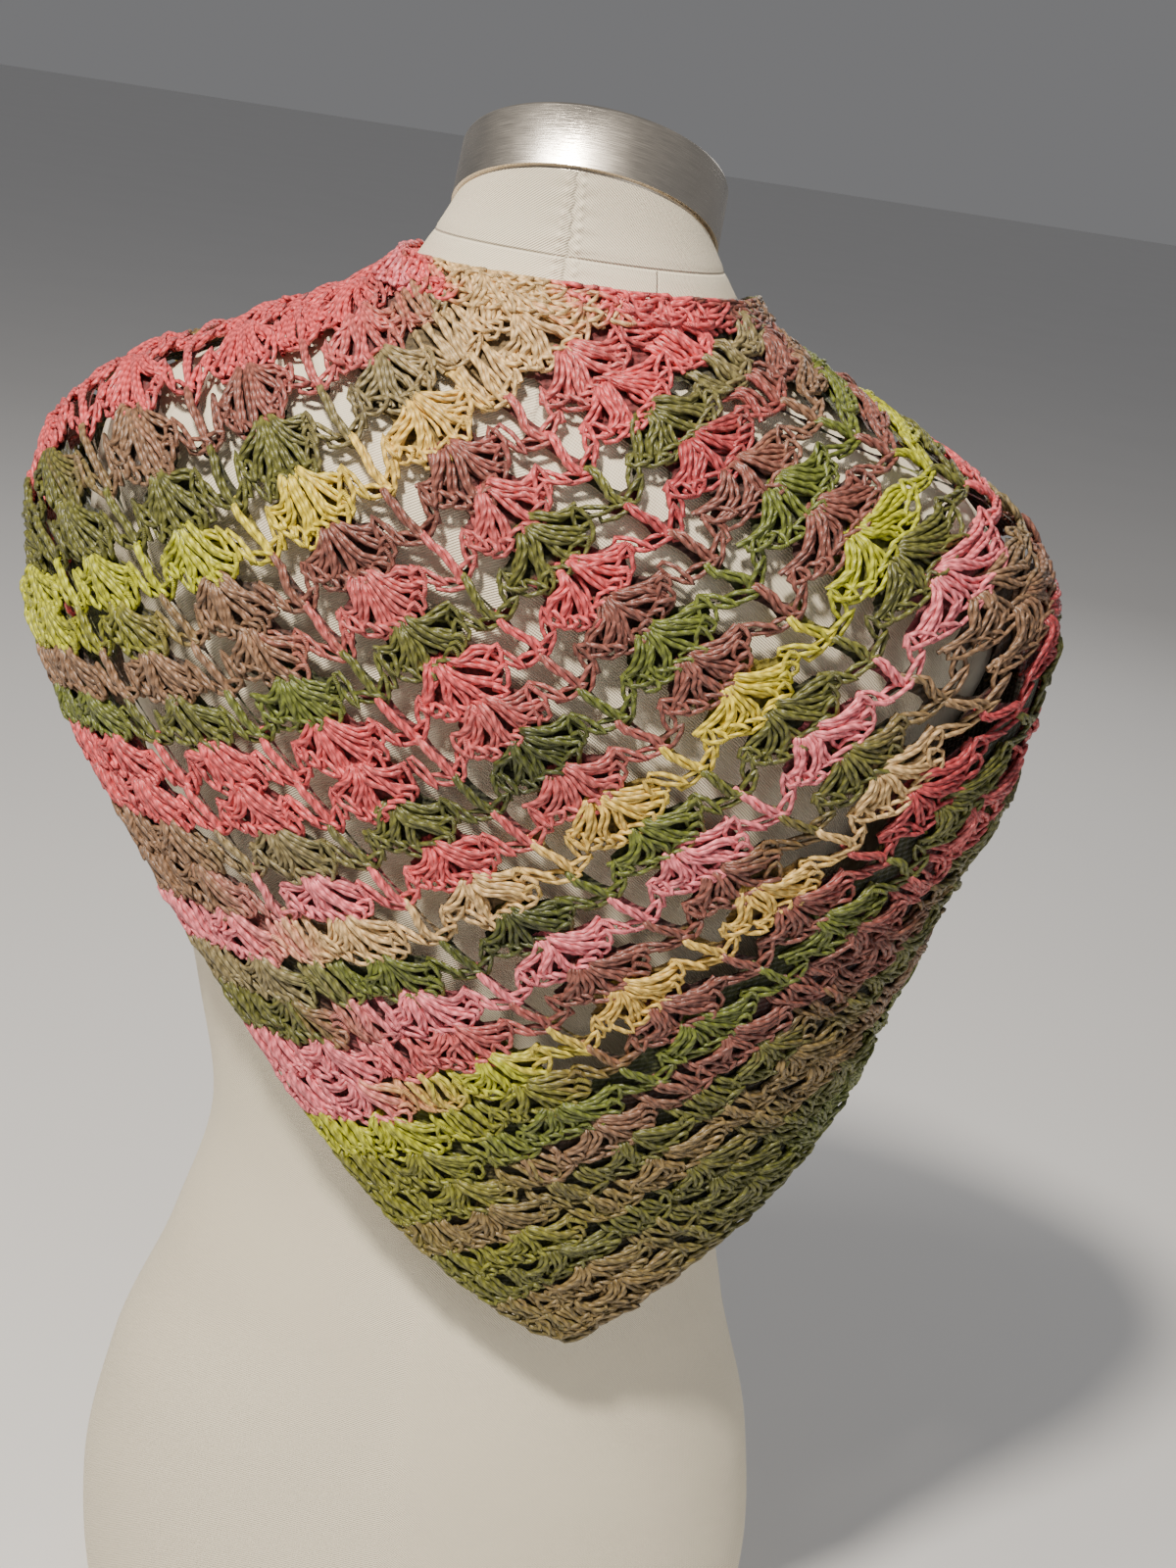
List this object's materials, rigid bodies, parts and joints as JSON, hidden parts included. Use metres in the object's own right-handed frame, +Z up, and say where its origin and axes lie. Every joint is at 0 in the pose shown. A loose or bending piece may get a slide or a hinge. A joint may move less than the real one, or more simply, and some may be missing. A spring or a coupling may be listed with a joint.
{
  "type": "lace shawl on a dress form",
  "caption": "Hand-crocheted openwork triangle shawl in variegated yarn, worn round the shoulders of a limbless dress form with a slanted metal neck cap.",
  "frame": {"origin": "middle of the dress form's flat underside, on the surface it stands on", "axes": "+Z up; the form's front faces -Y and the point of the shawl hangs down its back, on the +Y side; the form's right side is -X"},
  "size_m": [0.451, 0.2575, 0.7723],
  "materials": {
    "yarn": "soft sheen",
    "edging_yarn": "soft sheen",
    "jersey": "matt",
    "steel": "brushed"
  },
  "bodies": {
    "root": {"form_torso": "jersey", "neck_cap": "steel", "shawl_nape": "yarn", "shawl_left_shoulder": "yarn", "shawl_right_shoulder": "yarn", "shawl_point": "yarn", "shawl_left_wing": "yarn", "shawl_right_wing": "yarn", "shawl_edging": "edging_yarn"}
  },
  "joints": []
}
